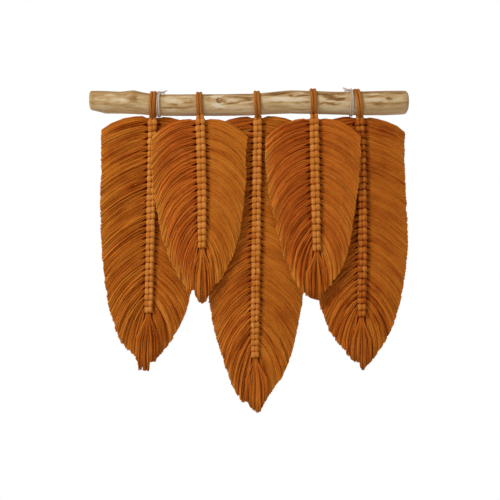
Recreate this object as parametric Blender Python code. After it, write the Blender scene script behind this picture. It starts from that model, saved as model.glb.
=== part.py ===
"""Macrame wall hanging: five knotted feathers of ochre cotton cord, looped over a peeled branch.

Metres, +X to the right as seen from the room, +Y into the wall, +Z up.
The origin lies on the wall, behind the middle of the branch, and depths are measured out from the wall.
Each feather is one solid: a ridged bar of knots with a lock of combed fringe at each end of every knot.
"""

import math
import random

import bmesh
import bpy
from mathutils import Vector

MM = 0.001
WELD_DISTANCE = 0.01 * MM

# Branch
ROD_LENGTH = 400 * MM
ROD_DEPTH = 18.6 * MM
ROD_BEVEL_RESOLUTION = 6
# place: share of the length from the middle; radius and height of the axis in mm
ROD_STATIONS = (
    # place, radius, height
    (-0.499, 10.8, 3.8),
    (-0.496, 12.0, 3.7),
    (-0.468, 13.3, 2.4),
    (-0.452, 14.1, 1.4),
    (-0.405, 13.7, 1.0),
    (-0.361, 14.8, 1.6),
    (-0.335, 13.9, 0.1),
    (-0.310, 13.7, -1.3),
    (-0.264, 13.5, -2.2),
    (-0.153, 13.5, -2.2),
    (-0.075, 13.5, -2.1),
    (0.004, 13.6, -1.7),
    (0.067, 13.7, 0.2),
    (0.130, 14.4, 1.7),
    (0.193, 14.3, 1.3),
    (0.271, 14.1, 0.4),
    (0.325, 14.6, 0.3),
    (0.366, 15.0, 0.1),
    (0.429, 15.2, 0.3),
    (0.484, 14.9, 0.9),
    (0.494, 14.3, 1.2),
    (0.499, 12.6, 1.5),
    (0.501, 10.4, 1.6),
)

# Cord
CORD_RADIUS = 2.0 * MM
SEAT_GAP = 0.3 * MM
LOOP_CLEARANCE = 0.6 * MM
LEG_GAP = 0.4 * MM
NECK_LENGTH = 0.8 * MM
NECK_BEND = 2.2 * MM
NECK_REACH = 2.5 * MM
LOOP_ARC_STEPS = 14
# across and out, as shares of a cord's radius: two cords side by side
CORD_PAIR = (
    (-1.97, 0.0),
    (-1.25, 0.76),
    (0.0, 0.34),
    (1.25, 0.76),
    (1.97, 0.0),
    (1.25, -0.76),
    (0.0, -0.50),
    (-1.25, -0.76),
)
CORD_FLATNESS = 0.76

# Thin ties round the branch
TWINE_RADIUS = 1.0 * MM
TIE_STEPS = 20
KNOT_RADIUS = 2.2 * MM
KNOT_SEGMENTS = 8
KNOT_RINGS = 6
KNOT_FLATNESS = 0.75
# along the branch towards the side that the ends point to, out to the room and up, in mm from the tie's top
TIE_ENDS = (
    ((0.0, 0.2, 0.5), (3.2, 0.8, 0.9), (8.4, 1.2, 2.3)),
    ((0.0, -0.6, 0.5), (2.6, -2.6, 0.6), (5.6, -5.0, 0.9)),
)
TIES = (
    # name, place along the branch in mm, side that its free ends point to
    ("tie_left", -113.3, 1),
    ("tie_right", 129.0, -1),
)

# Bar of knots
SPINE_HALF_WIDTH = 5.6 * MM
SPINE_HALF_DEPTH = 5.0 * MM
VALLEY_WIDTH = 0.84
VALLEY_DEPTH = 0.74
# across and out of the wall, as shares of the half width and half depth: two columns of knots
SPINE_SECTION = (
    (-1.0, -0.50),
    (-0.52, -1.0),
    (0.0, -0.74),
    (0.52, -1.0),
    (1.0, -0.50),
    (1.0, 0.50),
    (0.0, 1.0),
    (-1.0, 0.50),
)
LEFT_FRONT, LEFT_CREST, GROOVE, RIGHT_CREST, RIGHT_FRONT, RIGHT_BACK, BACK, LEFT_BACK = range(8)

# Locks of fringe
LOCK_STATIONS = (
    # share of the length, share of its lane filled, thickness in mm
    (0.08, 1.00, 6.2),
    (0.45, 1.00, 5.8),
    (0.85, 1.00, 4.6),
    (1.00, 0.80, 2.6),
)
LOCK_GAP = 0.55 * MM
CONTROL_REACH = 0.55
LENGTHS = (0.99, 1.025)
SEED = 7

# Ends of the core cords, below the bar
TAIL_SPREAD = (3.5 * MM, 5.6 * MM)
TAIL_LENGTHS = {-1: 0.94, 0: 1.0, 1: 0.95}
TAIL_STATIONS = (
    # share of the length, share of its lane filled, thickness in mm
    (0.12, 0.84, 6.0),
    (0.50, 0.88, 5.6),
    (0.88, 0.86, 4.4),
    (1.00, 0.45, 2.4),
)

BACK_DEPTH = 17.6 * MM
FRONT_DEPTH = 26.2 * MM

# name: depth, knots, loop_x, top, bottom, spine_x (top, middle, bottom) and tail (length, drift), and for
# each side its lean to the wall at the ends and its fringe as (root, reach, drop, slope); all in mm, but
# root is a share of the bar from its top, and slope is how far below level a lock leaves the bar, in degrees.
FEATHERS = {
    "feather_left": dict(
        depth=BACK_DEPTH, knots=31, loop_x=-119.8,
        top=-20.3, bottom=-264.0, spine_x=(-121.0, -123.2, -126.5), tail=(73.0, -5.8),
        left=dict(lean=2.5, fringe=(
            (0.00, 59, 13, -14), (0.04, 60, 20, 5), (0.10, 60, 28, 12), (0.18, 60, 32, 17),
            (0.30, 60, 36, 19), (0.50, 57, 40, 22), (0.65, 52, 46, 26), (0.75, 47, 50, 30),
            (0.85, 37, 57, 37), (0.92, 28, 58, 47), (0.97, 16, 59, 63), (1.00, 8, 60, 81))),
        right=dict(lean=2.5, fringe=(
            (0.00, 54, 14, -14), (0.05, 55, 18, 4), (0.10, 56, 20, 8), (0.30, 57, 28, 14),
            (0.50, 56, 36, 20), (0.65, 50, 44, 26), (0.75, 43, 48, 31), (0.85, 33, 52, 38),
            (0.92, 22, 55, 49), (0.97, 11, 58, 66), (1.00, 0, 62, 87))),
    ),
    "feather_mid_left": dict(
        depth=FRONT_DEPTH, knots=20, loop_x=-62.4,
        top=-20.3, bottom=-182.5, spine_x=(-60.8, -58.8, -58.6), tail=(67.5, -0.6),
        left=dict(lean=0.0, fringe=(
            (0.00, 54, 24, 2), (0.04, 55, 28, 4), (0.10, 56, 34, 6), (0.25, 54, 44, 11),
            (0.40, 49, 52, 18), (0.55, 43, 61, 26), (0.70, 34, 64, 33), (0.80, 25, 66, 42),
            (0.90, 14, 67, 57), (1.00, 4, 52, 82))),
        right=dict(lean=1.5, fringe=(
            (0.00, 53, 23, 2), (0.04, 52, 27, 5), (0.10, 51, 33, 11), (0.25, 50, 41, 16),
            (0.40, 46, 48, 21), (0.55, 42, 53, 26), (0.70, 34, 56, 33), (0.80, 26, 57, 42),
            (0.90, 16, 58, 57), (1.00, 5, 51, 82))),
    ),
    "feather_centre": dict(
        depth=BACK_DEPTH, knots=40, loop_x=10.0,
        top=-20.3, bottom=-320.5, spine_x=(11.6, 9.4, 7.9), tail=(68.5, 3.8),
        left=dict(lean=2.5, fringe=(
            (0.00, 57, 13, -14), (0.04, 58, 18, 3), (0.10, 59, 22, 8), (0.30, 59, 31, 16),
            (0.50, 56, 44, 25), (0.60, 53, 49, 29), (0.70, 47, 54, 33), (0.80, 37, 58, 39),
            (0.90, 24, 62, 50), (0.95, 14, 65, 64), (0.975, 10, 64, 75), (1.00, 2, 56, 86))),
        right=dict(lean=2.5, fringe=(
            (0.00, 53, 13, -14), (0.04, 54, 17, 3), (0.10, 56, 20, 8), (0.30, 57, 29, 15),
            (0.50, 56, 40, 23), (0.60, 53, 46, 27), (0.70, 48, 52, 31), (0.80, 40, 57, 36),
            (0.90, 27, 59, 47), (0.93, 20, 57, 54), (0.95, 16, 58, 60), (1.00, 6, 56, 81))),
    ),
    "feather_mid_right": dict(
        depth=FRONT_DEPTH, knots=20, loop_x=80.8,
        top=-19.3, bottom=-186.0, spine_x=(81.8, 83.4, 85.2), tail=(61.5, 1.9),
        left=dict(lean=1.5, fringe=(
            (0.00, 54, 25, 2), (0.04, 55, 28, 4), (0.10, 56, 36, 8), (0.25, 52, 44, 12),
            (0.40, 47, 48, 17), (0.55, 41, 54, 24), (0.70, 33, 58, 31), (0.80, 25, 61, 41),
            (0.87, 17, 62, 50), (0.90, 14, 66, 57), (0.95, 7, 62, 70), (1.00, 1, 56, 85))),
        right=dict(lean=0.0, fringe=(
            (0.00, 52, 23, 2), (0.04, 52, 26, 4), (0.10, 53, 31, 8), (0.25, 51, 36, 11),
            (0.40, 46, 41, 17), (0.55, 40, 48, 24), (0.70, 34, 54, 32), (0.80, 25, 57, 42),
            (0.90, 14, 57, 58), (1.00, 4, 53, 84))),
    ),
    "feather_right": dict(
        depth=BACK_DEPTH, knots=31, loop_x=135.6,
        top=-20.3, bottom=-269.0, spine_x=(140.0, 143.4, 142.5), tail=(67.5, 1.5),
        left=dict(lean=2.5, fringe=(
            (0.00, 53, 13, -14), (0.04, 55, 17, 3), (0.10, 57, 21, 8), (0.30, 59, 30, 15),
            (0.50, 58, 39, 21), (0.65, 54, 47, 26), (0.75, 47, 51, 30), (0.85, 36, 54, 36),
            (0.92, 25, 53, 46), (0.97, 12, 54, 64), (1.00, 3, 55, 84))),
        right=dict(lean=2.5, fringe=(
            (0.00, 51, 15, -5), (0.04, 51, 18, 6), (0.10, 50, 21, 11), (0.30, 51, 28, 17),
            (0.50, 52, 35, 21), (0.65, 47, 39, 25), (0.75, 42, 44, 29), (0.85, 34, 48, 35),
            (0.92, 24, 51, 46), (0.97, 13, 55, 64), (1.00, 4, 59, 83))),
    ),
}

MATERIALS = {
    # name: colour, roughness
    "peeled_wood": ((0.55, 0.42, 0.26), 0.65),
    "ochre_cotton": ((0.42, 0.15, 0.025), 0.9),
    "white_twine": ((0.62, 0.54, 0.50), 0.85),
}


def clear_scene():
    for item in list(bpy.data.objects):
        bpy.data.objects.remove(item)


def collection(name):
    made = bpy.data.collections.new(name)
    bpy.context.scene.collection.children.link(made)
    return made


def material(name):
    colour, roughness = MATERIALS[name]
    made = bpy.data.materials.get(name) or bpy.data.materials.new(name)
    made.use_nodes = True
    shader = made.node_tree.nodes["Principled BSDF"]
    shader.inputs["Base Color"].default_value = (*colour, 1.0)
    shader.inputs["Roughness"].default_value = roughness
    shader.inputs["Metallic"].default_value = 0.0
    return made


def read(rows, at, column=1):
    """The value of a table's column at a place in its first column, on straight lines between its rows."""
    for low, high in zip(rows, rows[1:]):
        if at <= high[0]:
            share = max(0.0, (at - low[0]) / (high[0] - low[0]))
            return low[column] + (high[column] - low[column]) * share
    return rows[-1][column]


def rod_radius(x):
    return read(ROD_STATIONS, x / ROD_LENGTH, 1) * MM


def rod_height(x):
    return read(ROD_STATIONS, x / ROD_LENGTH, 2) * MM


def curve_object(name, points, into, radii=None):
    """A curve object with one open straight-line spline through the points."""
    data = bpy.data.curves.new(name, "CURVE")
    data.dimensions = "3D"
    data.use_fill_caps = True
    spline = data.splines.new("POLY")
    spline.points.add(len(points) - 1)
    for spot, point in zip(spline.points, points):
        spot.co = (*point, 1.0)
    for spot, radius in zip(spline.points, radii or ()):
        spot.radius = radius
    made = bpy.data.objects.new(name, data)
    into.objects.link(made)
    return made


def build_rod(into):
    points = [
        (place * ROD_LENGTH, -ROD_DEPTH, height * MM) for place, _, height in ROD_STATIONS
    ]
    rod = curve_object("branch", points, into, [radius * MM for _, radius, _ in ROD_STATIONS])
    rod.data.bevel_depth = 1.0
    rod.data.bevel_resolution = ROD_BEVEL_RESOLUTION
    rod.data.materials.append(material("peeled_wood"))
    return rod


def cord_pair(name, radius, into):
    """The closed outline of two cords side by side, for a curve to sweep."""
    data = bpy.data.curves.new(name, "CURVE")
    data.dimensions = "2D"
    data.fill_mode = "NONE"
    spline = data.splines.new("POLY")
    spline.points.add(len(CORD_PAIR) - 1)
    for spot, (across, out) in zip(spline.points, CORD_PAIR):
        spot.co = (across * radius, out * radius, 0.0, 1.0)
    spline.use_cyclic_u = True
    made = bpy.data.objects.new(name, data)
    made.hide_render = True
    made.display_type = "WIRE"
    into.objects.link(made)
    return made


def tangent_angle(out, down, radius, side):
    """Where a cord from a point below the branch meets its ring: the angle from straight down to the room."""
    towards = math.atan2(out, -down)
    return towards + side * math.acos(radius / math.hypot(out, down))


def build_loop(name, feather, profile, into):
    """The doubled core cord: up the front of the branch, over it and down behind, to the first knot."""
    x = feather["loop_x"] * MM
    neck_x = feather["spine_x"][0] * MM
    centre = Vector((x, -ROD_DEPTH, rod_height(x)))
    ring = rod_radius(x) + LOOP_CLEARANCE + CORD_RADIUS * CORD_FLATNESS
    end = feather["top"] * MM + SEAT_GAP
    leg = CORD_RADIUS * CORD_FLATNESS + LEG_GAP / 2
    neck_out = feather["depth"] - ROD_DEPTH
    down = end + NECK_BEND - centre.z
    front = tangent_angle(neck_out + leg + NECK_REACH, down, ring, 1)
    back = tangent_angle(neck_out - leg - NECK_REACH, down, ring, -1) + math.tau
    points = [
        (neck_x, -feather["depth"] - leg, end),
        (neck_x, -feather["depth"] - leg, end + NECK_LENGTH),
        (neck_x, -feather["depth"] - leg - NECK_REACH, end + NECK_BEND),
    ]
    for step in range(LOOP_ARC_STEPS + 1):
        share = step / LOOP_ARC_STEPS
        angle = front + (back - front) * share
        height = 0.5 - 0.5 * math.cos(angle)
        points.append((
            neck_x + (x - neck_x) * height,
            centre.y - ring * math.sin(angle),
            centre.z - ring * math.cos(angle),
        ))
    points.append((neck_x, -feather["depth"] + leg + NECK_REACH, end + NECK_BEND))
    points.append((neck_x, -feather["depth"] + leg, end + NECK_LENGTH))
    points.append((neck_x, -feather["depth"] + leg, end))
    loop = curve_object(name, points, into)
    loop.data.bevel_mode = "OBJECT"
    loop.data.bevel_object = profile
    loop.data.twist_mode = "MINIMUM"
    loop.data.materials.append(material("ochre_cotton"))
    return loop


def mesh_from_curve(made, into):
    """The curve object as a mesh object with its caps welded, in place of the curve."""
    graph = bpy.context.evaluated_depsgraph_get()
    mesh = bpy.data.meshes.new_from_object(made.evaluated_get(graph))
    solid = bmesh.new()
    solid.from_mesh(mesh)
    bmesh.ops.remove_doubles(solid, verts=solid.verts, dist=WELD_DISTANCE)
    solid.to_mesh(mesh)
    solid.free()
    name = made.name
    place = made.matrix_world.copy()
    bpy.data.objects.remove(made)
    meshed = bpy.data.objects.new(name, mesh)
    meshed.matrix_world = place
    into.objects.link(meshed)
    return meshed


def helper_end(name, points, into):
    """A free end of twine as a closed helper mesh."""
    end = curve_object(name, points, into)
    end.data.bevel_depth = TWINE_RADIUS
    end.data.bevel_resolution = 1
    return mesh_from_curve(end, into)


def build_tie(name, x, side, profile, into, helpers):
    """Two turns of thin twine round the branch, knotted on top, with both free ends on one side."""
    ring = rod_radius(x) + SEAT_GAP + LOOP_CLEARANCE / 2 + TWINE_RADIUS
    centre = Vector((x, -ROD_DEPTH, rod_height(x)))
    angles = [math.tau * step / TIE_STEPS for step in range(TIE_STEPS)]
    turn = [centre + ring * Vector((0, -math.sin(angle), math.cos(angle))) for angle in angles]
    loop = curve_object(name, turn, into)
    loop.data.splines[0].use_cyclic_u = True
    loop.data.bevel_mode = "OBJECT"
    loop.data.bevel_object = profile
    loop.data.twist_mode = "MINIMUM"
    tie = mesh_from_curve(loop, into)
    top = centre + Vector((0, 0, ring))
    ball = bmesh.new()
    bmesh.ops.create_uvsphere(ball, u_segments=KNOT_SEGMENTS, v_segments=KNOT_RINGS, radius=KNOT_RADIUS)
    lump = bpy.data.meshes.new(name + "_knot")
    ball.to_mesh(lump)
    ball.free()
    knot = bpy.data.objects.new(name + "_knot", lump)
    knot.location = top + Vector((0, 0, TWINE_RADIUS / 2))
    knot.scale = (1, 1, KNOT_FLATNESS)
    helpers.objects.link(knot)
    joined = [knot]
    for count, places in enumerate(TIE_ENDS, 1):
        points = [top + MM * Vector((side * along, -out, up)) for along, out, up in places]
        joined.append(helper_end(f"{name}_end_{count}", points, helpers))
    for helper in joined:
        helper.hide_render = True
        helper.display_type = "WIRE"
        join = tie.modifiers.new(helper.name, "BOOLEAN")
        join.operation = "UNION"
        join.object = helper
    tie.data.materials.clear()
    tie.data.materials.append(material("white_twine"))
    return tie


def spine_point(feather, share):
    """The middle of the bar at a share of its length from the top, on one smooth bend."""
    top, middle, bottom = feather["spine_x"]
    bend = 4 * middle - 3 * top - bottom
    x = top + bend * share + (bottom - top - bend) * share * share
    z = feather["top"] + (feather["bottom"] - feather["top"]) * share
    return Vector((x * MM, -feather["depth"], z * MM))


def lane(feather, side, root, along):
    """A point of the fringe: root is where on the bar it grows, along its share of the length."""
    sign = -1 if side == "left" else 1
    rows = feather[side]["fringe"]
    start = spine_point(feather, root) + Vector((sign * SPINE_HALF_WIDTH, 0, 0))
    end = Vector((sign * read(rows, root, 1) * MM, 0, -read(rows, root, 2) * MM))
    slope = math.radians(read(rows, root, 3))
    control = Vector((sign * math.cos(slope), 0, -math.sin(slope))) * end.length * CONTROL_REACH
    lean = Vector((0, feather[side]["lean"] * MM * along * along, 0))
    return start + control * 2 * along * (1 - along) + end * along * along + lean


def lock_sections(feather, side, knot, stretch):
    """The four-sided sections of one lock, each as its front, lower, back and upper point."""
    for along, filled, thickness in LOCK_STATIONS:
        upper = lane(feather, side, knot / feather["knots"], along * stretch)
        lower = lane(feather, side, (knot + 1) / feather["knots"], along * stretch)
        centre = (upper + lower) / 2
        across = (lower - upper) / 2
        across *= filled - LOCK_GAP / (2 * across.length)
        out = Vector((0, thickness * MM / 2, 0))
        yield centre - out, centre + across, centre + out, centre - across


def tail_sections(feather, place):
    """The sections of one of the three core tails: place is -1, 0 or 1."""
    length, drift = feather["tail"]
    for along, filled, thickness in TAIL_STATIONS:
        spread = TAIL_SPREAD[0] + (TAIL_SPREAD[1] - TAIL_SPREAD[0]) * min(1.0, 2 * along)
        centre = spine_point(feather, 1.0) + Vector((
            drift * MM * along + place * spread,
            0,
            -length * MM * along * TAIL_LENGTHS[place],
        ))
        across = Vector((spread * filled / 2, 0, 0))
        out = Vector((0, thickness * MM / 2, 0))
        yield centre - out, centre + across, centre + out, centre - across


def grow(solid, face, corners, sections):
    """Extrudes a root face through the sections; corners gives the root's vertices in the sections' order."""
    for section in sections:
        found = bmesh.ops.extrude_discrete_faces(solid, faces=[face])
        grown = found["faces"][0]
        places = dict(zip(corners, section))
        moved = []
        for old in corners:
            new = min(grown.verts, key=lambda v: (v.co - old.co).length)
            moved.append((new, places[old]))
        for vertex, place in moved:
            vertex.co = place
        corners = [vertex for vertex, _ in moved]
        face = grown


def spine_ring(solid, feather, share, wide, deep):
    centre = spine_point(feather, share)
    return [
        solid.verts.new(centre + Vector((x * SPINE_HALF_WIDTH * wide, y * SPINE_HALF_DEPTH * deep, 0)))
        for x, y in SPINE_SECTION
    ]


def spine_rings(solid, feather):
    """A valley, then a crest, for each knot, and a last valley."""
    knots = feather["knots"]
    for knot in range(knots):
        yield spine_ring(solid, feather, knot / knots, VALLEY_WIDTH, VALLEY_DEPTH)
        yield spine_ring(solid, feather, (knot + 0.5) / knots, 1.0, 1.0)
    yield spine_ring(solid, feather, 1.0, VALLEY_WIDTH, VALLEY_DEPTH)


def build_feather(name, feather, into, uneven):
    """The bar is lofted from its rings, and each lock and tail grows out of a face of it."""
    solid = bmesh.new()
    rings = list(spine_rings(solid, feather))
    count = len(SPINE_SECTION)
    walls = {}
    for step, (upper, lower) in enumerate(zip(rings, rings[1:])):
        for a in range(count):
            b = (a + 1) % count
            walls[step, a] = solid.faces.new((upper[a], lower[a], lower[b], upper[b]))
    solid.faces.new(rings[0])
    end = solid.faces.new(rings[-1][::-1])
    last = rings[-1]
    roots = []
    for knot in range(feather["knots"]):
        step = 2 * knot + 1
        upper, lower = rings[step], rings[step + 1]
        for side, wall, front, back in (
            ("left", LEFT_BACK, LEFT_FRONT, LEFT_BACK),
            ("right", RIGHT_FRONT, RIGHT_FRONT, RIGHT_BACK),
        ):
            corners = [upper[front], lower[front], lower[back], upper[back]]
            stretch = uneven.uniform(*LENGTHS)
            roots.append((walls[step, wall], corners, list(lock_sections(feather, side, knot, stretch))))
    bmesh.utils.face_split(end, last[LEFT_CREST], last[BACK])
    centre_face = next(f for f in last[GROOVE].link_faces if len(f.verts) > 4)
    bmesh.utils.face_split(centre_face, last[RIGHT_CREST], last[BACK])
    tails = {
        -1: (last[LEFT_CREST], last[BACK], last[LEFT_BACK], last[LEFT_FRONT]),
        0: (last[GROOVE], last[RIGHT_CREST], last[BACK], last[LEFT_CREST]),
        1: (last[RIGHT_CREST], last[RIGHT_FRONT], last[RIGHT_BACK], last[BACK]),
    }
    for place, corners in tails.items():
        face = next(f for f in solid.faces if set(f.verts) == set(corners))
        roots.append((face, list(corners), list(tail_sections(feather, place))))
    for face, corners, sections in roots:
        grow(solid, face, corners, sections)
    bmesh.ops.recalc_face_normals(solid, faces=solid.faces)
    mesh = bpy.data.meshes.new(name)
    solid.to_mesh(mesh)
    solid.free()
    mesh.materials.append(material("ochre_cotton"))
    made = bpy.data.objects.new(name, mesh)
    into.objects.link(made)
    return made


def main():
    clear_scene()
    parts = collection("macrame_wall_hanging")
    helpers = collection("helpers")
    uneven = random.Random(SEED)
    build_rod(parts)
    cords = cord_pair("cord_pair", CORD_RADIUS, helpers)
    twines = cord_pair("twine_pair", TWINE_RADIUS, helpers)
    for name, feather in FEATHERS.items():
        build_loop(name.replace("feather", "loop"), feather, cords, parts)
        build_feather(name, feather, parts, uneven)
    for name, place, side in TIES:
        build_tie(name, place * MM, side, twines, parts, helpers)


main()
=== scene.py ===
"""Looks of the macrame wall hanging: combed fringe, bars of knots, loops, twine ties and a peeled branch.

Sizes are in millimetres, but those of the materials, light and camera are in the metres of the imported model.
The shape of the branch and the places, bars and fringe of the feathers are those of the part's source.
"""

import math

import bpy
import numpy as np
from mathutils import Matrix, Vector, noise


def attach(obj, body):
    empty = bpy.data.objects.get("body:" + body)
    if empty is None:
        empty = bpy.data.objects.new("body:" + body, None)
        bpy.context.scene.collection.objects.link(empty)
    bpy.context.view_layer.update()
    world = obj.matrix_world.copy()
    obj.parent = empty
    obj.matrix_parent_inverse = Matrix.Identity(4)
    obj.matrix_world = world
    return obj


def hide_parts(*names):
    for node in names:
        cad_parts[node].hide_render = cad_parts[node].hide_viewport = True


MM = 0.001
BODY = "root"
rng = np.random.default_rng(11)

# ---- the branch and the feathers

ROD_LENGTH = 400.0
ROD_DEPTH = 18.6
ROD_STATIONS = (
    # share of the length from the middle, radius, height of the axis
    (-0.499, 10.8, 3.8), (-0.496, 12.0, 3.7), (-0.468, 13.3, 2.4), (-0.452, 14.1, 1.4), (-0.405, 13.7, 1.0),
    (-0.361, 14.8, 1.6), (-0.335, 13.9, 0.1), (-0.31, 13.7, -1.3), (-0.264, 13.5, -2.2),
    (-0.153, 13.5, -2.2), (-0.075, 13.5, -2.1), (0.004, 13.6, -1.7), (0.067, 13.7, 0.2), (0.13, 14.4, 1.7),
    (0.193, 14.3, 1.3), (0.271, 14.1, 0.4), (0.325, 14.6, 0.3), (0.366, 15.0, 0.1), (0.429, 15.2, 0.3),
    (0.484, 14.9, 0.9), (0.494, 14.3, 1.2), (0.499, 12.6, 1.5), (0.501, 10.4, 1.6),
)
SPINE_HALF_WIDTH = 5.6
CONTROL_REACH = 0.55
BACK = dict(depth=17.6, lift=2.8)
FRONT = dict(depth=26.2, lift=-0.6)
FEATHERS = {
    # lift: how far the first row of fringe is raised where it leaves the bar
    # steps and lobes: how much a low row ends in steps, and how much all rows differ, as shares of length
    # knot_painted_shade, tone and edge: how much lighter the knots, the fringe and the tips of the fringe are;
    # the knots' is painted shade, where the light falls off to the right and behind the front feathers, the
    # fringe's is partly its dye and partly painted light and shade, and the tips' is a painted highlight
    # spine_x: the middle of the bar at its top, half-way down and at its bottom
    # hem: how far the straight ends hang below the bar, by their place across
    # each side: lean to the wall at the ends, and fringe as (share of bar, reach, drop, slope in degrees)
    "left": dict(
        **BACK, knots=31, loop_x=-119.8, steps=0.035, lobes=0.006,
        knot_painted_shade=0.0, top=-20.3, bottom=-264.0, spine_x=(-121.0, -123.2, -126.5),
        hem=((-16, 58), (-13.5, 61.5), (-12.5, 72), (-9, 72), (-8, 63), (-7.5, 73), (0.5, 73), (1.5, 62),
             (8.5, 61.5), (11, 56), (14, 54)),
        left=dict(lean=2.5, tone=-0.08, tip_highlight=0.28, fringe=(
            (0, 59, 13, -14), (0.04, 60, 20, 5), (0.1, 60, 28, 12), (0.18, 60, 32, 17), (0.3, 60, 36, 19),
            (0.5, 57, 40, 22), (0.65, 52, 46, 26), (0.75, 47, 50, 30), (0.85, 37, 57, 37),
            (0.92, 28, 58, 47), (0.97, 16, 59, 63), (1, 8, 60, 81))),
        right=dict(lean=2.5, tone=-0.05, tip_highlight=0.14, fringe=(
            (0, 54, 14, -14), (0.05, 55, 18, 4), (0.1, 56, 20, 8), (0.3, 57, 28, 14), (0.5, 56, 36, 20),
            (0.65, 50, 44, 26), (0.75, 43, 48, 31), (0.85, 33, 52, 38), (0.92, 22, 55, 49),
            (0.97, 11, 58, 66), (1, 0, 62, 87))),
    ),
    "mid_left": dict(
        **FRONT, knots=20, loop_x=-62.4, steps=0.07, lobes=0.012,
        knot_painted_shade=-0.03, top=-20.3, bottom=-182.5, spine_x=(-60.8, -58.8, -58.6),
        hem=((-14, 52), (-9.5, 52.5), (-8.5, 59), (-5, 66), (-3, 68), (3, 68), (5.5, 66), (7, 62), (9, 56),
             (14, 50)),
        left=dict(lean=0.0, tone=-0.04, tip_highlight=0.45, fringe=(
            (0, 54, 24, 2), (0.04, 55, 28, 4), (0.1, 56, 34, 6), (0.25, 54, 44, 11), (0.4, 49, 52, 18),
            (0.55, 43, 61, 26), (0.7, 34, 64, 33), (0.8, 25, 66, 42), (0.9, 14, 67, 57), (1, 4, 52, 82))),
        right=dict(lean=1.5, tone=0.03, tip_highlight=0.15, fringe=(
            (0, 53, 23, 2), (0.04, 52, 27, 5), (0.1, 51, 33, 11), (0.25, 50, 41, 16), (0.4, 46, 48, 21),
            (0.55, 42, 53, 26), (0.7, 34, 56, 33), (0.8, 26, 57, 42), (0.9, 16, 58, 57), (1, 5, 51, 82))),
    ),
    "centre": dict(
        **BACK, knots=40, loop_x=10.0, steps=0.02, lobes=0.005,
        knot_painted_shade=-0.08, top=-20.3, bottom=-320.5, spine_x=(11.6, 9.4, 7.9),
        hem=((-13, 54.5), (-9, 55.5), (-6.5, 62), (0, 67.5), (4, 69), (7, 67.5), (11, 59), (14, 53.5),
             (16.5, 48.5)),
        left=dict(lean=2.5, tone=-0.03, tip_highlight=0.24, fringe=(
            (0, 57, 13, -14), (0.04, 58, 18, 3), (0.1, 59, 22, 8), (0.3, 59, 31, 16), (0.5, 56, 44, 25),
            (0.6, 53, 49, 29), (0.7, 47, 54, 33), (0.8, 37, 58, 39), (0.9, 24, 62, 50), (0.95, 14, 65, 64),
            (0.975, 10, 64, 75), (1, 2, 56, 86))),
        right=dict(lean=2.5, tone=-0.02, tip_highlight=0.12, fringe=(
            (0, 53, 13, -14), (0.04, 54, 17, 3), (0.1, 56, 20, 8), (0.3, 57, 29, 15), (0.5, 56, 40, 23),
            (0.6, 53, 46, 27), (0.7, 48, 52, 31), (0.8, 40, 57, 36), (0.9, 27, 59, 47), (0.93, 20, 57, 54),
            (0.95, 16, 58, 60), (1, 6, 56, 81))),
    ),
    "mid_right": dict(
        **FRONT, knots=20, loop_x=80.8, steps=0.055, lobes=0.012,
        knot_painted_shade=-0.08, top=-19.3, bottom=-186.0, spine_x=(81.8, 83.4, 85.2),
        hem=((-14, 52), (-10, 57), (-6, 59.5), (1.5, 61.5), (5.5, 60.5), (7.5, 57), (14, 44)),
        left=dict(lean=1.5, tone=-0.12, tip_highlight=0.42, fringe=(
            (0, 54, 25, 2), (0.04, 55, 28, 4), (0.1, 56, 36, 8), (0.25, 52, 44, 12), (0.4, 47, 48, 17),
            (0.55, 41, 54, 24), (0.7, 33, 58, 31), (0.8, 25, 61, 41), (0.87, 17, 62, 50), (0.9, 14, 66, 57),
            (0.95, 7, 62, 70), (1, 1, 56, 85))),
        right=dict(lean=0.0, tone=-0.02, tip_highlight=0.15, fringe=(
            (0, 52, 23, 2), (0.04, 52, 26, 4), (0.1, 53, 31, 8), (0.25, 51, 36, 11), (0.4, 46, 41, 17),
            (0.55, 40, 48, 24), (0.7, 34, 54, 32), (0.8, 25, 57, 42), (0.9, 14, 57, 58), (1, 4, 53, 84))),
    ),
    "right": dict(
        **BACK, knots=31, loop_x=135.6, steps=0.025, lobes=0.005,
        knot_painted_shade=-0.31, top=-20.3, bottom=-269.0, spine_x=(140.0, 143.4, 142.5),
        hem=((-14, 53), (-9, 56.5), (-3, 57.5), (-1.5, 64), (0.5, 67.5), (2.5, 67.5), (5, 63), (13, 55)),
        left=dict(lean=2.5, tone=-0.05, tip_highlight=0.14, fringe=(
            (0, 53, 13, -14), (0.04, 55, 17, 3), (0.1, 57, 21, 8), (0.3, 59, 30, 15), (0.5, 58, 39, 21),
            (0.65, 54, 47, 26), (0.75, 47, 51, 30), (0.85, 36, 54, 36), (0.92, 25, 53, 46),
            (0.97, 12, 54, 64), (1, 3, 55, 84))),
        right=dict(lean=2.5, tone=-0.09, tip_highlight=0.16, fringe=(
            (0, 51, 15, -5), (0.04, 51, 18, 6), (0.1, 50, 21, 11), (0.3, 51, 28, 17), (0.5, 52, 35, 21),
            (0.65, 47, 39, 25), (0.75, 42, 44, 29), (0.85, 34, 48, 35), (0.92, 24, 51, 46),
            (0.97, 13, 55, 64), (1, 4, 59, 83))),
    ),
}
TIES = (("tie_left", -113.3, 1), ("tie_right", 129.0, -1))  # node, place along, way of the free ends
SIGN = {"left": -1, "right": 1}

# ---- marks in the peeled wood, seen from the front

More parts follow.
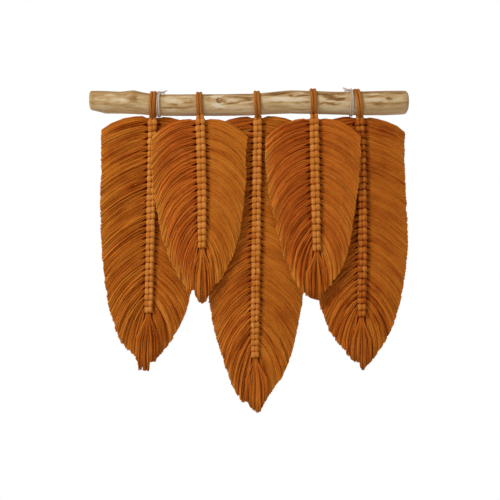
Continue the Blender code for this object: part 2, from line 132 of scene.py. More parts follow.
BRANCH_MARKS = (
    # place along, height, half length, half thickness, slope, change of tone
    (-185, 3, 7, 1.3, 0, 0.22), (-173, 8.5, 8, 1.5, -0.1, 0.2), (-161, 2.5, 12, 2.1, -0.1, 0.24),
    (-155, -0.5, 8, 1.3, 0.1, 0.1), (-180, -5.5, 10, 1.5, -0.1, 0.1), (-178, -1.5, 8, 0.9, -0.1, -0.12),
    (-161, 9.5, 9, 1, 0.1, -0.12), (-195, 2, 2, 10.1, 0, -0.07), (-144, 3, 6, 6.3, 0.1, -0.12),
    (-163, 2, 13, 1.5, 0.1, 0.14), (-144, 12, 4, 1.3, 0, -0.1), (-135, 5.5, 4, 1.3, -0.1, 0.22),
    (-132, 0, 9, 1, -0.1, 0.12), (-130, 10, 6, 1, -0.1, -0.12), (-142, -7.5, 19, 1.3, -0.1, -0.1),
    (-176, -10.5, 12, 1.3, -0.1, -0.1), (-138, -4.5, 12, 1.1, -0.1, 0.1), (-108, 8.5, 3, 2, -0.1, -0.2),
    (-97, 3, 9, 3.8, -0.2, 0.22), (-89, -7, 21, 1.5, 0, -0.24), (-94, -3.5, 6, 1.3, -0.1, -0.24),
    (-98, -10, 8, 1.5, -0.1, 0.1), (-78, 7.5, 9, 1.3, 0, 0.14), (-78, 10, 8, 0.8, 0, -0.14),
    (-76, 4, 6, 0.9, 0, -0.2), (-80, 1, 2, 1, -1, -0.14), (-71, 1, 1.5, 1, -1.6, -0.16),
    (-76, -1, 5, 0.9, 0.1, -0.16), (-84, -1.5, 4, 1.5, -0.2, 0.12), (-53, 2.5, 2.5, 1.5, -1, -0.2),
    (-47, 5, 2.5, 1.3, -0.5, -0.16), (-51, 9.5, 4, 1, -0.1, -0.14), (-40, 7.5, 8, 2.8, 0, 0.36),
    (-38, -4.5, 8, 3, -0.1, 0.3), (-32, 1.5, 3, 1.4, -0.8, -0.3), (-12, 6, 19, 1.5, -0.1, -0.3),
    (-11, 10, 18, 1.1, 0, -0.18), (-22, 2, 8, 1.6, 0, 0.2), (-21, -1.5, 8, 1, 0.1, -0.32),
    (-4, 2, 11, 1.8, 0.1, -0.16), (-23, -6.5, 29, 2, 0, 0.12), (-36, -9, 2.5, 1, -0.1, -0.22),
    (-13, -9, 4, 1.3, -0.1, -0.22), (2, -3, 4, 1.1, 0.1, -0.16), (-3, -1, 8, 1, 0.1, 0.14),
    (0, 3, 5, 1.8, -0.2, -0.16), (33, 10, 18, 2.1, 0, -0.36), (41, 13, 9, 1.3, 0, -0.16),
    (46, 3.5, 31, 3.6, 0, 0.28), (43, 4, 8, 2.3, 0, 0.12), (54, 7, 5, 1.5, -0.3, -0.36),
    (68, 7.5, 9, 1.5, 0.1, -0.34), (64, 12, 6, 1.6, 0, 0.26), (73, 12, 5, 1.8, -0.2, -0.26),
    (61, -1, 5, 1.1, 0, -0.24), (73, 0, 4, 1.3, 0.1, -0.28), (33, -1, 6, 1, -0.2, -0.2),
    (33, -7.5, 16, 3.8, 0, -0.07), (63, -9, 14, 1.1, 0, -0.2), (61, -11.5, 10, 1, 0, 0.12),
    (56, -4.5, 8, 1.5, 0, 0.1), (97, 9, 12, 2.4, -0.1, -0.32), (102, 4.5, 8, 1.8, -0.1, -0.34),
    (97, 1.5, 12, 2, -0.1, 0.22), (91, 5, 6, 1.1, -0.1, 0.14), (100, -2.5, 15, 1, 0, -0.36),
    (116, 3.5, 7, 2, 0.2, -0.36), (116, 6.5, 4, 0.9, 0.1, 0.22), (115, 10.5, 11, 1.5, 0, -0.22),
    (106, -7, 19, 2.5, 0, 0.1), (117, -0.5, 8, 1, 0, 0.1), (156, 11.5, 15, 1.5, 0, -0.26),
    (158, 9.5, 7, 0.9, 0, 0.24), (156, 7, 14, 0.8, 0, -0.2), (156, 2.5, 14, 2.5, 0, 0.24),
    (169, -2, 29, 0.8, 0, -0.22), (175, 4.5, 4, 2.2, -0.2, -0.24), (185, 11, 12, 2.3, 0, -0.2),
    (188, 2, 11, 1.3, -0.1, 0.22), (188, 2.5, 11, 0.6, 0, -0.12), (164, -4.5, 6, 1.8, -0.2, -0.14),
    (170, -9, 27, 3.3, 0, -0.09), (181, -4, 12, 1.1, 0, -0.14), (171, 0.5, 2.5, 1.9, -0.3, 0.12),
    (196, 2, 2.5, 3.8, -1.5, -0.1),
)
BRANCH_KNOT = (-37.0, 1.9, 2.8)  # the ring of a cut twig: place along, height, radius
TWIG_RINGS = ((1.0, 0.74, 0.00), (0.30, 0.46, 0.16))  # share of its radius, thickness, tone
# low bulges: place along, angle up from the front, size, rise
BULGES = (
    (-37.0, 0.27, 4.2, 0.7), (175.0, 0.30, 3.5, 0.5), (-146.0, 0.35, 6.0, 0.8), (-150.0, 1.3, 5.0, 0.6),
    (60.0, -2.6, 3.5, 0.8), (118.0, 2.0, 4.5, 0.6),
)
# unevenness of the surface: scale along, scale around, where its noise starts, height
RELIEF = ((0.012, 2.2, 3.1, 0.30), (0.035, 6.0, 7.7, 0.22), (0.15, 11.0, 1.3, 0.12), (0.09, 4.0, 5.9, 0.0))
# rings of the end faces, inwards: share of the rim, how far out, tone
END_RINGS = ((0.93, 0.25, 0.36), (0.75, 0.45, 0.5), (0.5, 0.55, 0.42), (0.25, 0.6, 0.5), (0.08, 0.6, 0.3))
PITH = (0.6, 0.15)  # how far out, tone
BRANCH_RINGS = 320
BRANCH_SIDES = 96
MARKS_BEHIND = 70
PLAIN_WOOD = 0.50
MARK_STRENGTH = 1.3

# ---- sizes of the looks

# the fringe: every row of knots has cord ends, every cord end has clumps, and every clump has strands
CORD_ENDS = 2
CLUMPS = 4
STRANDS = 7
STRAND_SIDES = 3
CLUMP_SIDES = 4
STRAND_WIDTH = 1.15
CLUMP_WIDTH = 2.1
CLUMP_FLATNESS = 0.6
# the rings of a strand or clump, by their share of its way, and its thickness at each
ALONG = (-0.06, 0.03, 0.12, 0.28, 0.51, 0.77, 1.0)
STRAND_TAPER = (0.7, 0.75, 0.95, 1.05, 1.05, 1.0, 0.75)
CLUMP_TAPER = (0.7, 0.8, 1.0, 1.1, 1.1, 1.0, 0.9)
LOCK_TURNS = (0.0, 0.3, 0.65, 1.0)  # where a lock may rise, sink or change its tone
OPENING = {"left": (0.46, 0.11), "right": (0.52, 0.09)}  # width of a row at the bar, and where it is full
ROOT_INSIDE = 2.2  # where a strand starts, from the middle of the bar
LOW_ROWS = (0.72, 0.95)  # shares of the bar between which the rows turn to low ones
ROWS_IN_LOBE = 3
STRAY_SHARE = 0.2
DEPTH_OF_CLUMPS = {"left": 1.25, "right": 0.55}
RISE_OF_LOCKS = {"left": 0.65, "right": 0.25}
STREAKS = {"left": 0.09, "right": 0.045}  # change of tone from lock to lock
LOW_STREAKS = {"left": 1.1, "right": 2.4}  # times the streaks, in the low rows
TIP_HIGHLIGHT_START = 0.66  # where the painted highlight of the tips begins

# what lies behind the strands, and the backs of the cord ends: share of the way, depth, more in the grooves
BACKING_ROWS = 4
BACKING_STEPS = (0.0, 0.05, 0.12, 0.22, 0.36, 0.52, 0.70, 0.86, 0.992)
BACKING_DEPTH = {"left": 0.5, "right": 0.2}
BACKS = ((0.0, 3.6, 0.2), (0.16, 2.9, 0.9), (0.40, 0.3, 0.4))
BACKING_INSIDE = 3.0

# the straight ends below the bar
TAIL_LOCKS = 7
TAIL_STRANDS = 34
TAIL_STEPS = (-0.08, 0.02, 0.12, 0.28, 0.50, 0.76, 1.0)
TAIL_TAPER = (0.8, 0.85, 1.0, 1.05, 1.1, 1.1, 0.85)
TAIL_TOP = 2.6  # half the width at the bar

# the bar: its bights in front, the first small knots, the wraps behind and the cords inside
BIGHT_WIDTH = 3.15
BIGHT_DEPTH = 2.2
BIGHT_RISE = 3.5
BIGHT_HALF_HEIGHT = 0.462  # of the pitch of the rows
BIGHT_STEPS = (-1.0, -0.90, -0.74, -0.42, 0.0, 0.42, 0.74, 0.90, 1.0)
COLUMN_OFFSET = 2.6
KNOT_TONE = 0.69
FIRST_KNOT_RADIUS = 2.35
WRAP_REACH = 5.0
WRAP_RADIUS = 0.245  # of the pitch of the rows
WRAP_SIDES = 10
CORE_RADIUS = 1.9
CORE_OFFSET = 1.7

# loops and ties
CORD_RADIUS = 2.0
CORD_SIDES = 14
CORD_FLATNESS = 0.82
CORD_UNEVEN = 0.05
LOOP_GAP = 0.4
LOOP_OFFSET = 1.95
LOOP_SINK = 0.24  # how much closer than its radius a cord lies, as a share of that
LOOP_POINTS = 72
LOOP_ENDS = (22, 338)  # from where to where it follows the branch, in degrees from straight down
TWINE_RADIUS = 1.0
TWINE_GAP = 0.25
TWINE_PLIES = 3
PLY_SIDES = 6
# the knot of a tie on top of the branch, and its free ends with their turns: along, to the room, up
TIE_KNOT = ((-2.0, 1.4, -0.2), (-1.0, 1.8, 0.9), (0.6, 0.4, 1.5), (1.3, -1.2, 0.9), (0.2, -2.0, 0.3),
            (-1.2, -0.8, 1.2), (0.0, 1.0, 1.9), (1.8, 1.6, 0.9))
TIE_ENDS = (
    (((0.4, 0.2, 1.0), (3.2, 0.8, 1.1), (6.2, 1.0, 1.7), (8.6, 1.2, 2.6)), 2.0),
    (((0.4, -0.8, 0.9), (2.8, -2.4, 0.9), (5.8, -4.6, 1.1)), 1.4),
)
FRAY_FIBRES = 14
FRAY_RADII = (0.22, 0.2, 0.1)

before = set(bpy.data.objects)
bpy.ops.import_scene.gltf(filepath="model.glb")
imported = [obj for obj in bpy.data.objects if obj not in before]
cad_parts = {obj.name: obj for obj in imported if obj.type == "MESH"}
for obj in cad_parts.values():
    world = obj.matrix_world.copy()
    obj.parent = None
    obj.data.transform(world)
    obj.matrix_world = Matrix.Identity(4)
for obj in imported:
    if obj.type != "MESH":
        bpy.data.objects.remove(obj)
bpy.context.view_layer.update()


# ---- mesh helpers

def add_mesh(name, points, quads, tris=(), tones=None, smooth=True):
    """A mesh object from arrays of points in millimetres, quads, triangles and a tone for each point."""
    mesh = bpy.data.meshes.new(name)
    faces = [np.asarray(corners, dtype=np.int32) for corners in (quads, tris) if len(corners)]
    loops = np.concatenate([corners.ravel() for corners in faces])
    sizes = np.concatenate([np.full(len(corners), corners.shape[1], dtype=np.int32) for corners in faces])
    starts = np.concatenate([[0], np.cumsum(sizes)[:-1]]).astype(np.int32)
    mesh.vertices.add(len(points))
    mesh.vertices.foreach_set("co", (np.asarray(points, dtype=np.float64) * MM).astype(np.float32).ravel())
    mesh.loops.add(len(loops))
    mesh.loops.foreach_set("vertex_index", loops)
    mesh.polygons.add(len(sizes))
    mesh.polygons.foreach_set("loop_start", starts)
    mesh.polygons.foreach_set("loop_total", sizes)
    mesh.update(calc_edges=True)
    mesh.validate()
    if tones is not None:
        layer = mesh.attributes.new("tone", "FLOAT", "POINT")
        layer.data.foreach_set("value", np.asarray(tones, dtype=np.float32))
    if smooth:
        mesh.shade_smooth()
    made = bpy.data.objects.new(name, mesh)
    bpy.context.scene.collection.objects.link(made)
    return made


def add_piece(name, shape, material, slot, *nodes):
    """A piece that rides on the part; nodes are the solids that it takes the place of."""
    made = add_mesh(name, *shape)
    made.data.materials.append(material)
    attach(made, BODY)
    if nodes:
        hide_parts(*nodes)


def unit(vectors):
    return vectors / np.maximum(np.linalg.norm(vectors, axis=-1, keepdims=True), 1e-9)


def smoothstep(x, low, high):
    x = np.clip((x - low) / (high - low), 0, 1)
    return x * x * (3 - 2 * x)


def scatter(size, shape):
    """Random values that are mostly less than size from nought."""
    return rng.normal(0, size, shape)


def waves(along, slowest, fastest, shape):
    """Waves along strands, each of its own length and start."""
    return np.sin(along * rng.uniform(slowest, fastest, shape) + rng.uniform(0, math.tau, shape))


def uneven(count, sides, rings=1, along=0.0):
    """The sides of soft cords as shares of their radius, which may change along them."""
    ridges = 1 + scatter(CORD_UNEVEN, (count, 1, sides))
    return ridges + scatter(along, (count, rings, sides)) if along else ridges


def points_of(x, y, z):
    return np.stack(np.broadcast_arrays(x, y, z), axis=-1)


# A shape is its points, quads, triangles and tones.

def tubes(paths, radii, sides, tone, roll=None, front=(0.0, -1.0, 0.0), cap=True, flat=1.0, ridges=1.0):
    """Tubes round many paths, which are (tubes, rings, 3). Tones and ridges fit (tubes, rings, sides)."""
    count, rings, _ = paths.shape
    tangent = unit(np.gradient(paths, axis=1))
    across = unit(np.cross(tangent, np.broadcast_to(front, tangent.shape)))
    out = unit(np.cross(across, tangent))
    angles = np.arange(sides) / sides * math.tau
    if roll is not None:
        angles = angles + roll[..., None]
    radii = np.asarray(radii)[..., None] * ridges
    points = (
        paths[:, :, None, :]
        + (radii * np.cos(angles))[..., None] * across[:, :, None, :]
        + (radii * flat * np.sin(angles))[..., None] * out[:, :, None, :]
    )
    grid = np.arange(count * rings * sides).reshape(count, rings, sides)
    after = np.roll(grid, -1, axis=2)
    quads = np.stack([grid[:, :-1], after[:, :-1], after[:, 1:], grid[:, 1:]], axis=-1).reshape(-1, 4)
    tris = np.zeros((0, 3), dtype=int)
    if cap:
        corners = np.stack([np.zeros(sides - 2, int), np.arange(2, sides), np.arange(1, sides - 1)], axis=-1)
        caps = (grid[:, 0][:, corners], grid[:, -1][:, corners[:, ::-1]])
        tris = np.concatenate([faces.reshape(-1, 3) for faces in caps])
    return points.reshape(-1, 3), quads, tris, np.broadcast_to(tone, (count, rings, sides)).reshape(-1)


def sheet(points, tone):
    """An open sheet over a grid of points."""
    rows, columns, _ = points.shape
    grid = np.arange(rows * columns).reshape(rows, columns)
    quads = np.stack([grid[:-1, :-1], grid[:-1, 1:], grid[1:, 1:], grid[1:, :-1]], axis=-1).reshape(-1, 4)
    tones = np.broadcast_to(tone, (rows, columns)).reshape(-1)
    return points.reshape(-1, 3), quads, np.zeros((0, 3), dtype=int), tones


def join(shapes):
    points, quads, tris, tones = zip(*shapes)
    starts = np.cumsum([0] + [len(part) for part in points])
    quads, tris = ([part + start for part, start in zip(faces, starts)] for faces in (quads, tris))
    return np.concatenate(points), np.concatenate(quads), np.concatenate(tris), np.concatenate(tones)


# ---- the shape of the feathers

def spine_at(feather, share):
    top, middle, bottom = feather["spine_x"]
    bend = 4 * middle - 3 * top - bottom
    x = top + bend * share + (bottom - top - bend) * share * share
    z = feather["top"] + (feather["bottom"] - feather["top"]) * share
    return x, z


def pitch_of(feather):
    return (feather["top"] - feather["bottom"]) / feather["knots"]


def lane(feather, side, share, along):
    """Points of the fringe, by the share of the bar that they grow from and by their share of its length."""
    roots, *columns = np.array(feather[side]["fringe"], dtype=float).T
    reach, drop, slope = (np.interp(share, roots, column) for column in columns)
    slope = np.radians(slope)
    x, z = spine_at(feather, share)
    length = np.hypot(reach, drop) * CONTROL_REACH
    pull, far = 2 * along * (1 - along), along * along
    return points_of(
        x + SIGN[side] * (SPINE_HALF_WIDTH + np.cos(slope) * length * pull + reach * far),
        -feather["depth"] + feather[side]["lean"] * far,
        z - np.sin(slope) * length * pull - drop * far,
    )


def fan(feather, side, share):
    """How much further apart the ends of the fringe lie than its roots."""
    roots, _, drop, _ = np.array(feather[side]["fringe"], dtype=float).T
    at, step = np.linspace(0, 1, 101), 0.01
    slope = np.gradient(np.interp(at, roots, drop), step) / (feather["top"] - feather["bottom"])
    return np.clip(1 + np.interp(share, at, slope), 0.9, 1.8)


def raised(feather, rows, along):
    """How far the first rows of fringe are raised where they leave the bar."""
    return feather["lift"] * np.exp(-1.1 * np.clip(rows, 0, None)) * (1 - smoothstep(along, 0.0, 0.45))


def stepped(feather, share, place):
    """How much shorter the fringe is by its place in its row: near the bottom every row ends in a step."""
    return smoothstep(share, *LOW_ROWS) * feather["steps"] * (place + 0.8 * place ** 2)


def fringe(feather, side):
    """The combed cord ends of one side: strands round the dense middle of each clump, over a backing."""
    knots, rings = feather["knots"], len(ALONG)
    per_row = (knots, 1, 1, 1, 1)
    per_cord = (knots, CORD_ENDS, 1, 1, 1)
    per_clump = (knots, CORD_ENDS, CLUMPS, 1, 1)
    per_strand = (knots, CORD_ENDS, CLUMPS, STRANDS, 1)
    row = np.arange(knots).reshape(per_row)
    cord = np.arange(CORD_ENDS).reshape(1, -1, 1, 1, 1)
    clump = np.arange(CLUMPS).reshape(1, 1, -1, 1, 1)
    t = np.array(ALONG)
    turns = np.array([np.interp(ALONG, LOCK_TURNS, turn) for turn in np.eye(len(LOCK_TURNS))])

    def along_locks(by_cord, by_clump):
        """Values that differ by cord end and by clump, and change a few times along them."""
        values = scatter(by_cord, (*per_cord[:-1], len(turns)))
        return (values + scatter(by_clump, (*per_clump[:-1], len(turns)))) @ turns

    # where the clumps of each row lie, as shares of the pitch
    centre = (cord + 0.5) / CORD_ENDS - 0.5
    order = rng.permuted(np.broadcast_to(clump, per_clump), axis=2)
    inside = (order + 0.5) / CLUMPS - 0.5 + scatter(0.06, per_clump)
    narrow, full = OPENING[side]
    place = (centre + inside / CORD_ENDS) * (narrow + (1 - narrow) * smoothstep(t, 0.0, full))
    share = (row + 0.5 + place) / knots
    wide = 1 + (fan(feather, side, share) - 1) * np.clip(t, 0, 1)

    # how long they are
    lobe_rows = np.arange(0, knots + ROWS_IN_LOBE, ROWS_IN_LOBE)
    lobes = np.interp(np.arange(knots), lobe_rows, scatter(0.011, len(lobe_rows)))
    row_length = 1 + scatter(feather["lobes"], per_row) + lobes.reshape(per_row)
    length = row_length + scatter(0.003, per_cord) + scatter(0.002, per_clump)
    length = length - stepped(feather, share, place)

    # how they wander from their lane
    low = smoothstep(share, *LOW_ROWS)
    spread = smoothstep(t, 0.0, 0.9)
    wave = waves(t, 3, 7, per_clump)
    aside = (scatter(0.55, per_clump) + wave * 0.45 + scatter(0.4, per_row)) * spread
    deep, rise = DEPTH_OF_CLUMPS[side], RISE_OF_LOCKS[side]
    level = (
        rng.uniform(-deep, deep, per_clump) * (1 - 0.5 * smoothstep(t, 0.2, 1.0))
        + (scatter(0.5, per_cord) + scatter(0.2, per_clump)) * spread
        + along_locks(rise, rise * 0.4) * smoothstep(t, 0.05, 0.3)
        + scatter(1.1, per_cord) * low * smoothstep(t, 0.1, 0.5)
        + 1.2 * (1 - smoothstep(t, 0.05, 0.35))
    )
    lift = raised(feather, row + place, t)
    root_x, root_z = spine_at(feather, (row + 0.5) / knots)
    root_x = root_x + SIGN[side] * ROOT_INSIDE
    root_z = root_z - place * pitch_of(feather) * 0.8 + lift

    def ways(stretch, own_x, own_y, own_z):
        """Paths of strands or clumps: the lane, moved with the clump and by their own offsets."""
        reach = np.clip(t, 0, None) * stretch
        points = lane(feather, side, share, reach)
        points[..., 0] += aside * 0.5 + own_x
        points[..., 1] += level + own_y
        points[..., 2] += aside + own_z + lift
        # the first ring lies inside the bar
        first_y, first_z = (np.broadcast_to(own, reach.shape)[..., 0] for own in (own_y, own_z))
        points[..., 0, 0] = root_x[..., 0]
        points[..., 0, 1] = -feather["depth"] + 0.5 * level[..., 0] + 0.6 * first_y
        points[..., 0, 2] = root_z[..., 0] + 0.5 * first_z
        return points.reshape(-1, rings, 3)

    streak = along_locks(STREAKS[side], STREAKS[side] * 0.8) * (1 + (LOW_STREAKS[side] - 1) * low)
    # in the low rows each lock has a painted highlight in its middle and painted shade at its sides, and next
    # to the bar the fringe has a little painted shade
    shade = (
        0.5 + feather[side]["tone"] + scatter(0.025, per_row) + scatter(0.045, per_clump) + streak
        + (scatter(0.09, per_cord) - 0.8 * inside ** 2 - 1.1 * place ** 2 + 0.15) * low
        - 0.04 * (1 - smoothstep(t, 0.0, 0.12))
    )
    # painted highlight on the tips of the fringe, where they curve towards the light
    tip_highlight = feather[side]["tip_highlight"] * smoothstep(t, TIP_HIGHLIGHT_START, 1.0)

    angle = rng.uniform(0, math.tau, per_strand)
    clump_radius = 0.65 + 0.50 * smoothstep(t, 0.05, 0.3) - 0.20 * smoothstep(t, 0.4, 1.0)
    ring = np.sqrt(rng.uniform(0, 1, per_strand)) * clump_radius
    own = waves(t, 5, 12, per_strand) * 0.25 * spread
    strays = scatter(1.2, per_strand) * (rng.random(per_strand) < STRAY_SHARE)
    stray = strays * smoothstep(t, 0.1, 0.5) * (1 - smoothstep(t, 0.6, 0.95))
    paths = ways(
        np.clip(length + scatter(0.002, per_strand), 0.94, 1.022),
        np.cos(angle) * ring * 0.35 + own + stray * 0.5,
        np.sin(angle) * ring + own,
        np.cos(angle) * ring * wide * 1.1 + own + stray,
    )
    count = len(paths)
    radii = STRAND_WIDTH * 0.5 * (1 + scatter(0.15, per_strand)).reshape(count, 1) * STRAND_TAPER
    roll = rng.uniform(0, math.tau, (count, 1)) + np.linspace(0, 1, rings) * scatter(1.2, (count, 1))
    tone = (shade + scatter(0.032, per_strand) + tip_highlight).reshape(count, rings, 1)
    strands = tubes(paths, radii, STRAND_SIDES, tone, roll=roll, cap=False)

    paths = ways(np.clip(length - 0.004, 0.93, 1.02), 0.0, 0.25, 0.0)
    count = len(paths)
    radii = CLUMP_WIDTH * 0.5 * (CLUMP_TAPER * wide.reshape(count, rings)) * (1 + scatter(0.12, (count, 1)))
    # the middles of the clumps are a little darker, painted shade deep in each clump, and take most of the
    # painted highlight of the tips
    tone = (shade - 0.06 + 0.7 * tip_highlight).reshape(count, rings, 1)
    middles = tubes(paths, radii, CLUMP_SIDES, tone, flat=CLUMP_FLATNESS, cap=False)
    return join([strands, middles, *backing(feather, side, row_length.ravel())])


def backing(feather, side, row_length):
    """What lies behind the strands, all through, and the backs of the cord ends where they leave the bar."""
    knots, inside = feather["knots"], SIGN[side] * BACKING_INSIDE
    share = np.linspace(0.002, 0.998, knots * BACKING_ROWS + 1)[:, None]
    rows = share * knots - 0.5
    lengths = np.interp(rows[:, 0], np.arange(knots), row_length)[:, None]
    along = BACKING_STEPS * (lengths - stepped(feather, share, rows - np.round(rows)))
    behind = lane(feather, side, share, along)
    behind[..., 1] += BACKING_DEPTH[side] + 2.6 * (1 - smoothstep(along, 0.05, 0.32))
    behind[..., 2] += raised(feather, rows, along)
    behind[:, 0, 0] -= inside

    ridge = np.cos(rows * math.tau * CORD_ENDS) * 0.5 + 0.5
    near, depth, groove = np.array(BACKS).T
    backs = lane(feather, side, share, near)
    backs[..., 1] += depth + (1 - ridge) * groove
    backs[..., 2] += raised(feather, rows, near)
    backs[:, 0, 0] -= inside
    # the backing is painted almost black next to the bar, as painted shade in the holes beside the knots
    return sheet(behind, -0.02 + 0.44 * smoothstep(along, 0.08, 0.22)), sheet(backs, 0.46 - 0.24 * ridge)


def tail(feather):
    """The straight locks below the bar, of the last knots and the core cords, trimmed to the hem."""
    hem_x, hem_drop = np.array(feather["hem"]).T
    per_lock = (TAIL_LOCKS, 1, 1)
    per_strand = (TAIL_LOCKS, TAIL_STRANDS, 1)
    t = np.array(TAIL_STEPS)
    edges = np.linspace(hem_x[0], hem_x[-1], TAIL_LOCKS + 1)
    edges[1:-1] += scatter(0.5, TAIL_LOCKS - 1)
    low, high = edges[:-1].reshape(per_lock), edges[1:].reshape(per_lock)
    x0, z0 = spine_at(feather, 1.0)
    angle = rng.uniform(0, math.tau, per_strand)
    ring = np.sqrt(rng.uniform(0, 1, per_strand))
    across, deep = np.cos(angle) * ring, np.sin(angle) * ring
    end = (low + high) / 2 + across * (high - low) * 0.49
    narrow = end / np.abs(hem_x).max() * TAIL_TOP
    open_out = smoothstep(t, 0.0, 0.62)
    wave = waves(t, 3, 6, per_lock)
    own = waves(t, 5, 11, per_strand)
    free = smoothstep(t, -0.05, 0.5) * (1 - smoothstep(t, 0.75, 1.0))
    layer = np.arange(TAIL_LOCKS).reshape(per_lock) % 2 * 1.9 - 1.5 + rng.uniform(-0.4, 0.4, per_lock)
    stretch = 1 + scatter(0.004, per_lock) + scatter(0.006, per_strand)
    paths = points_of(
        x0 + narrow * (1 - open_out) + end * open_out + (wave * 0.5 + own * 0.3) * free,
        -feather["depth"] + layer * smoothstep(t, 0.05, 0.4) + deep * (1.2 + 0.5 * free) + own * 0.2 * free,
        z0 - np.interp(end, hem_x, hem_drop) * stretch * t,
    ).reshape(-1, len(t), 3)
    count = len(paths)
    radii = STRAND_WIDTH * 0.5 * (1 + scatter(0.13, (count, 1))) * TAIL_TAPER
    roll = rng.uniform(0, math.tau, (count, 1))
    # painted shade in the valleys between the locks, at the sides of each
    tone = (
        0.52 + (feather["left"]["tone"] + feather["right"]["tone"]) / 2 + scatter(0.07, per_lock)
        + scatter(0.06, per_strand) - 0.42 * np.abs(across) ** 4 + 0.06 * t
    )
    strands = tubes(paths, radii, STRAND_SIDES, tone.reshape(count, len(t), 1), roll=roll)

    # what lies behind, between the last locks of both sides, painted dark next to the bar as painted shade
    along, side = np.meshgrid(np.linspace(-0.03, 1, 9), np.linspace(hem_x[0], hem_x[-1], 41), indexing="ij")
    behind = points_of(
        x0 + side * (0.5 + 0.5 * smoothstep(along, 0, 0.45)),
        -feather["depth"] + 0.9,
        z0 - 0.985 * along * np.interp(side, hem_x, hem_drop),
    )
    return join([strands, sheet(behind, -0.02 + 0.20 * smoothstep(along, 0.1, 0.3))])


def bar(feather):
    """The bar of knots: two columns of rounded bights in front, wraps behind, and the core cords within."""
    knots, depth, pitch = feather["knots"], feather["depth"], pitch_of(feather)
    row = np.arange(knots)
    per_knot = (knots, 1)
    slim = (1.02 - 0.15 * smoothstep((row + 0.5) / knots, 0.45, 1.0))[:, None]
    shapes = []
    x, z = (values[:, None] for values in spine_at(feather, (row + 0.5) / knots))
    s = np.array(BIGHT_STEPS)
    for column in (-1, 1):
        bight_x = x + column * COLUMN_OFFSET * slim + scatter(0.16, per_knot)
        bight_z = z + scatter(0.22, per_knot) + 0.30 * column
        lean = scatter(0.28, per_knot) + 0.2 * column
        out = 0.2 + (BIGHT_RISE + scatter(0.2, per_knot)) * (1 - np.abs(s) ** 2.8)
        paths = points_of(bight_x + lean * s, -depth - out, bight_z - s * pitch * BIGHT_HALF_HEIGHT)
        radii = BIGHT_WIDTH * slim * (1 - 0.36 * np.abs(s) ** 4.0) * (1 + scatter(0.03, per_knot))
        ridges = uneven(knots, CORD_SIDES, len(s), 0.015)
        # each bight has painted shade at its ends, where the rows meet, and a painted highlight on its upper
        # half, and the feather's painted shade of its bar is added
        tone = (
            KNOT_TONE + scatter(0.06, (knots, 1, 1)) + scatter(0.08, (knots, 1, CORD_SIDES))
            - 0.62 * np.abs(s)[:, None] ** 4 - 0.10 * s[:, None] + feather["knot_painted_shade"]
        )
        shapes.append(tubes(paths, radii, CORD_SIDES, tone, ridges=ridges, flat=BIGHT_DEPTH / BIGHT_WIDTH))

    # the small first knots, over the ends of the loop
    first_x, first_z = spine_at(feather, 0.0)
    s = np.linspace(-1, 1, 7)
    columns = np.array([[-1.0], [1.0]])
    paths = points_of(
        first_x + columns * 2.5,
        -depth - 1.6 - 2.0 * (1 - np.abs(s) ** 2.2),
        first_z + 1.6 + 0.4 * columns - s * 2.9,
    )
    radii = FIRST_KNOT_RADIUS * (1 - 0.4 * np.abs(s) ** 3.0)
    shapes.append(tubes(paths, radii, CORD_SIDES, 0.56, ridges=uneven(2, CORD_SIDES), flat=0.8))

    # wraps behind: two cords to a row, from side to side
    for cord in (-0.25, 0.25):
        x, z = (values[:, None] for values in spine_at(feather, (row + 0.5 + cord) / knots))
        paths = points_of(
            x + s * WRAP_REACH,
            -depth + 0.4 + 2.6 * (1 - np.abs(s) ** 2.4),
            z + scatter(0.15, per_knot) - cord * 0.6 * s,
        )
        ridges = uneven(knots, WRAP_SIDES)
        tone = 0.5 + scatter(0.06, (knots, 1, 1)) + scatter(0.04, (knots, 1, WRAP_SIDES))
        shapes.append(tubes(paths, pitch * WRAP_RADIUS, WRAP_SIDES, tone, ridges=ridges))

    # the core cords within are painted nearly black, as painted shade inside the bar
    x, z = spine_at(feather, np.linspace(0.0, 0.995, knots + 1))
    for column in (-1, 1):
        shapes.append(tubes(points_of(x + column * CORE_OFFSET, -depth, z)[None], CORE_RADIUS, 8, 0.05))
    return join(shapes)


# ---- the branch and what goes round it

def rod_at(x):
    """Radius of the branch and height of its axis, at a place along it."""
    places, radii, heights = zip(*ROD_STATIONS)
    return np.interp(x / ROD_LENGTH, places, radii), np.interp(x / ROD_LENGTH, places, heights)


def smooth_path(corners, count, times):
    """A path of evenly spaced points through corners, its bends softened a number of times."""
    corners = np.asarray(corners, dtype=float)
    step = np.concatenate([[0], np.cumsum(np.linalg.norm(np.diff(corners, axis=0), axis=1))])
    at = np.linspace(0, step[-1], count)
    path = np.stack([np.interp(at, step, column) for column in corners.T], axis=-1)
    for _ in range(times):
        path[1:-1] = 0.25 * path[:-2] + 0.5 * path[1:-1] + 0.25 * path[2:]
    return path


def plied(path, radius, twist, tone, share=0.56):
    """A cord of twisted plies along a path. twist is in turns over its whole length."""
    tangent = unit(np.gradient(path, axis=0))
    side = np.cross(tangent, [1.0, 0.0, 0.0])
    along_x = np.linalg.norm(side, axis=-1, keepdims=True) < 0.2
    side = unit(np.where(along_x, np.cross(tangent, [0.0, 0.0, 1.0]), side))
    up = unit(np.cross(side, tangent))
    starts = np.arange(TWINE_PLIES)[:, None] / TWINE_PLIES
    turn = (math.tau * (starts + twist * np.linspace(0, 1, len(path))))[..., None]
    paths = path + radius * (1 - share) * (np.cos(turn) * side + np.sin(turn) * up)
    return tubes(paths, radius * share, PLY_SIDES, tone)


